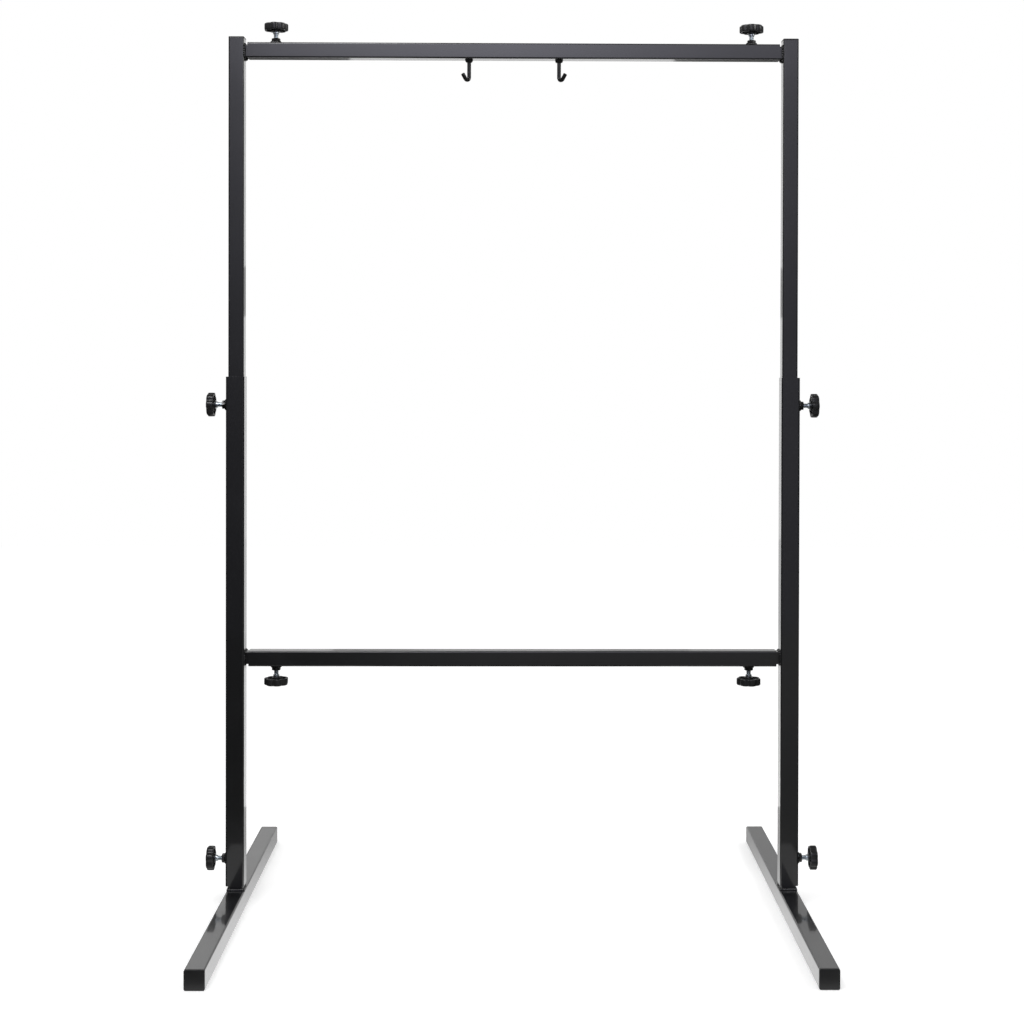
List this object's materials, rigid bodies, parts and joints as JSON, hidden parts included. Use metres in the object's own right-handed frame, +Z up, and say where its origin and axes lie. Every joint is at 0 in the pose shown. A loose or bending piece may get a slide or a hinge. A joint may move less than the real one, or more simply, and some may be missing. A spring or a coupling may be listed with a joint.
{
  "type": "gong stand",
  "caption": "Height-adjustable floor stand for a gong: square-tube feet and telescoping legs, upper and lower crossbars, star-knob clamps and welded hanging hooks.",
  "frame": {"origin": "on the floor, midway between the feet, under the middle of the crossbars", "axes": "+Z up along the legs, +X towards the stand's right side as seen from the front, and the front faces -Y"},
  "size_m": [1.267, 0.95, 1.83],
  "materials": {
    "frame_paint": "semi-gloss",
    "grip_plastic": "gloss",
    "cap_plastic": "satin",
    "screw_zinc": "bright zinc plate"
  },
  "bodies": {
    "lower_frame": {"lower_crossbar": "frame_paint", "left_foot_tube": "frame_paint", "left_foot_spigot": "frame_paint", "left_foot_front_cap": "cap_plastic", "left_foot_rear_cap": "cap_plastic", "left_lower_leg": "frame_paint", "left_height_nut": "frame_paint", "left_foot_nut": "frame_paint", "left_lower_stub": "frame_paint", "left_lower_bar_nut": "frame_paint", "right_foot_tube": "frame_paint", "right_foot_spigot": "frame_paint", "right_foot_front_cap": "cap_plastic", "right_foot_rear_cap": "cap_plastic", "right_lower_leg": "frame_paint", "right_height_nut": "frame_paint", "right_foot_nut": "frame_paint", "right_lower_stub": "frame_paint", "right_lower_bar_nut": "frame_paint"},
    "upper_frame": {"top_crossbar": "frame_paint", "left_upper_leg": "frame_paint", "left_upper_leg_cap": "cap_plastic", "left_top_stub": "frame_paint", "left_top_bar_nut": "frame_paint", "left_hook": "frame_paint", "right_upper_leg": "frame_paint", "right_upper_leg_cap": "cap_plastic", "right_top_stub": "frame_paint", "right_top_bar_nut": "frame_paint", "right_hook": "frame_paint"},
    "left_height_knob": {"left_height_knob_grip": "grip_plastic", "left_height_knob_stud": "screw_zinc"},
    "left_foot_knob": {"left_foot_knob_grip": "grip_plastic", "left_foot_knob_stud": "screw_zinc"},
    "left_top_bar_knob": {"left_top_bar_knob_grip": "grip_plastic", "left_top_bar_knob_stud": "screw_zinc"},
    "left_lower_bar_knob": {"left_lower_bar_knob_grip": "grip_plastic", "left_lower_bar_knob_stud": "screw_zinc"},
    "right_height_knob": {"right_height_knob_grip": "grip_plastic", "right_height_knob_stud": "screw_zinc"},
    "right_foot_knob": {"right_foot_knob_grip": "grip_plastic", "right_foot_knob_stud": "screw_zinc"},
    "right_top_bar_knob": {"right_top_bar_knob_grip": "grip_plastic", "right_top_bar_knob_stud": "screw_zinc"},
    "right_lower_bar_knob": {"right_lower_bar_knob_grip": "grip_plastic", "right_lower_bar_knob_stud": "screw_zinc"}
  },
  "joints": [
    {"name": "height_slide", "type": "slide", "parent": "lower_frame", "child": "upper_frame", "axis": [0, 0, 1], "range_m": [-0.64, 0.15]},
    {"name": "left_height_knob_turn", "type": "hinge", "parent": "lower_frame", "child": "left_height_knob", "pos_m": [-0.592, 0, 1.042], "axis": [-1, 0, 0], "range_deg": [0, 540]},
    {"name": "left_foot_knob_turn", "type": "hinge", "parent": "lower_frame", "child": "left_foot_knob", "pos_m": [-0.592, 0, 0.102], "axis": [-1, 0, 0], "range_deg": [0, 540]},
    {"name": "left_top_bar_knob_turn", "type": "hinge", "parent": "upper_frame", "child": "left_top_bar_knob", "pos_m": [-0.4916, 0, 1.7885], "axis": [0, 0, 1], "range_deg": [0, 540]},
    {"name": "left_lower_bar_knob_turn", "type": "hinge", "parent": "lower_frame", "child": "left_lower_bar_knob", "pos_m": [-0.49, 0, 0.502], "axis": [0, 0, -1], "range_deg": [0, 540]},
    {"name": "right_height_knob_turn", "type": "hinge", "parent": "lower_frame", "child": "right_height_knob", "pos_m": [0.592, 0, 1.042], "axis": [1, 0, 0], "range_deg": [0, 540]},
    {"name": "right_foot_knob_turn", "type": "hinge", "parent": "lower_frame", "child": "right_foot_knob", "pos_m": [0.592, 0, 0.102], "axis": [1, 0, 0], "range_deg": [0, 540]},
    {"name": "right_top_bar_knob_turn", "type": "hinge", "parent": "upper_frame", "child": "right_top_bar_knob", "pos_m": [0.4916, 0, 1.7885], "axis": [0, 0, 1], "range_deg": [0, 540]},
    {"name": "right_lower_bar_knob_turn", "type": "hinge", "parent": "lower_frame", "child": "right_lower_bar_knob", "pos_m": [0.49, 0, 0.502], "axis": [0, 0, -1], "range_deg": [0, 540]}
  ]
}
